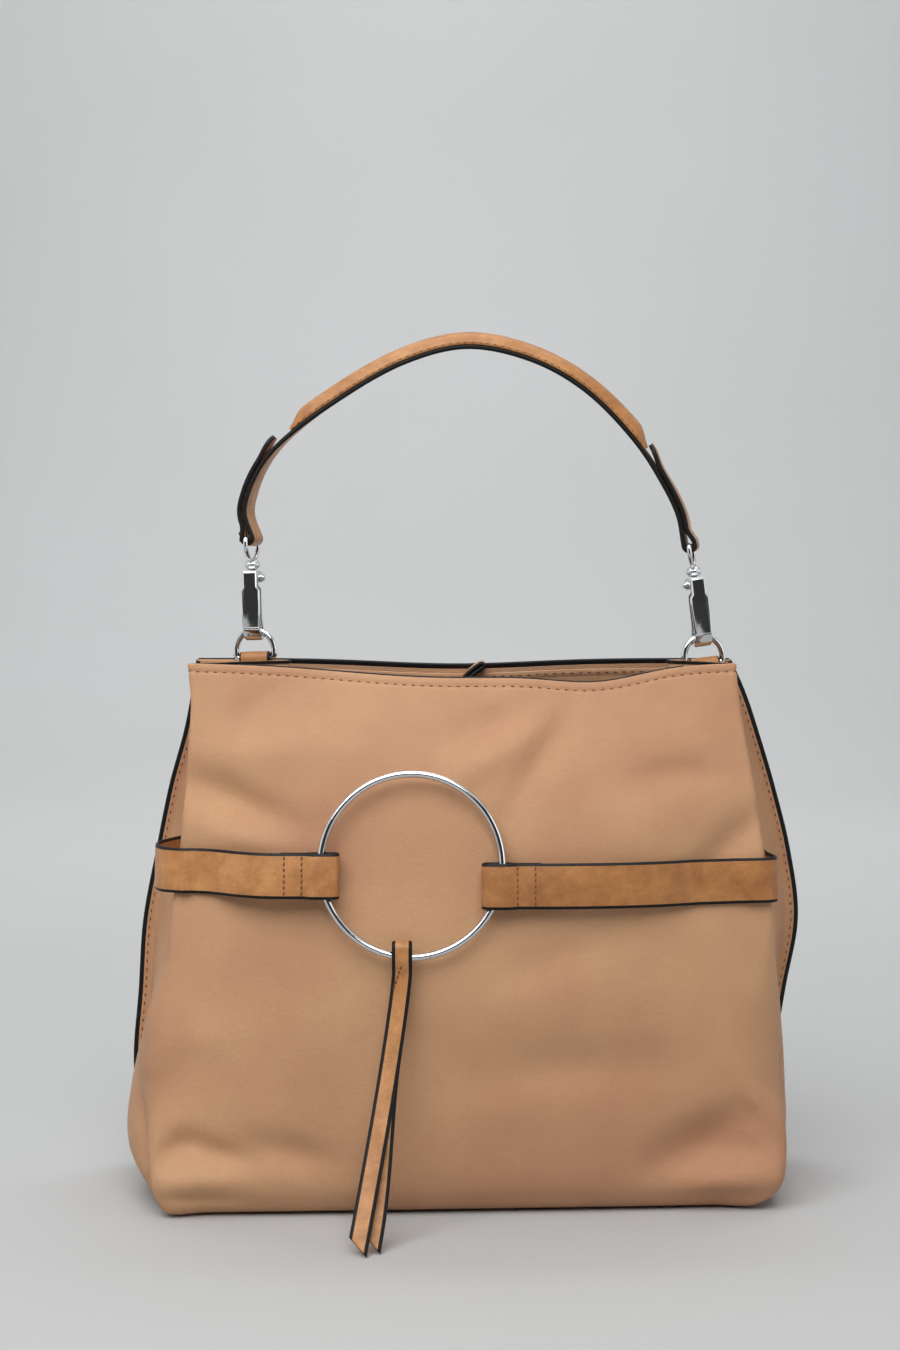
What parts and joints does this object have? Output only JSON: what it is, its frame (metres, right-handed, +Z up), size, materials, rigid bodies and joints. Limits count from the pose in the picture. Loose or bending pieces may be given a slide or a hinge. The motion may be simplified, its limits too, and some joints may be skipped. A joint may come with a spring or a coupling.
{
  "type": "shoulder bag",
  "caption": "Soft leather trapeze shoulder bag with gathered sides, a front ring held by two belts, a split tassel and a padded handle on swivel snap hooks.",
  "frame": {"origin": "middle of the base, on the surface that the bag stands on", "axes": "+X to the right of someone who looks at the front, +Y to the back, +Z up"},
  "size_m": [0.4011, 0.2095, 0.4995],
  "materials": {
    "beige_leather": "soft matt grained",
    "tan_leather": "mottled satin",
    "polished_metal": "polished"
  },
  "bodies": {
    "bag": {"front_body": "beige_leather", "back_panel": "beige_leather", "base_panel": "beige_leather", "front_facing": "beige_leather", "back_facing": "beige_leather", "belt_left": "tan_leather", "belt_right": "tan_leather", "tassel": "tan_leather", "tab_left": "tan_leather", "tab_right": "tan_leather", "d_ring_left": "polished_metal", "d_ring_right": "polished_metal", "hook_left": "polished_metal", "hook_right": "polished_metal", "eye_left": "polished_metal", "eye_right": "polished_metal", "handle_strap": "tan_leather", "handle_pad": "tan_leather", "closure_tab": "tan_leather"},
    "left_gate": {"gate_left": "polished_metal"},
    "right_gate": {"gate_right": "polished_metal"},
    "ring": {"front_ring": "polished_metal"}
  },
  "joints": [
    {"name": "gate_left_hinge", "type": "hinge", "parent": "bag", "child": "left_gate", "pos_m": [-0.12301, 0.01653, 0.35437], "axis": [-0.9871, 0.1563, -0.0332], "range_deg": [0, 13], "stiffness_Nm_per_rad": 0.02, "springref_deg": -11.46},
    {"name": "gate_right_hinge", "type": "hinge", "parent": "bag", "child": "right_gate", "pos_m": [0.13702, 0.01843, 0.35048], "axis": [-0.9835, -0.1382, -0.1167], "range_deg": [0, 13], "stiffness_Nm_per_rad": 0.02, "springref_deg": -11.46},
    {"name": "ring_spin", "type": "hinge", "parent": "bag", "child": "ring", "pos_m": [-0.0284, -0.07338, 0.1967], "axis": [0, -0.9903, 0.1392], "continuous": true}
  ]
}
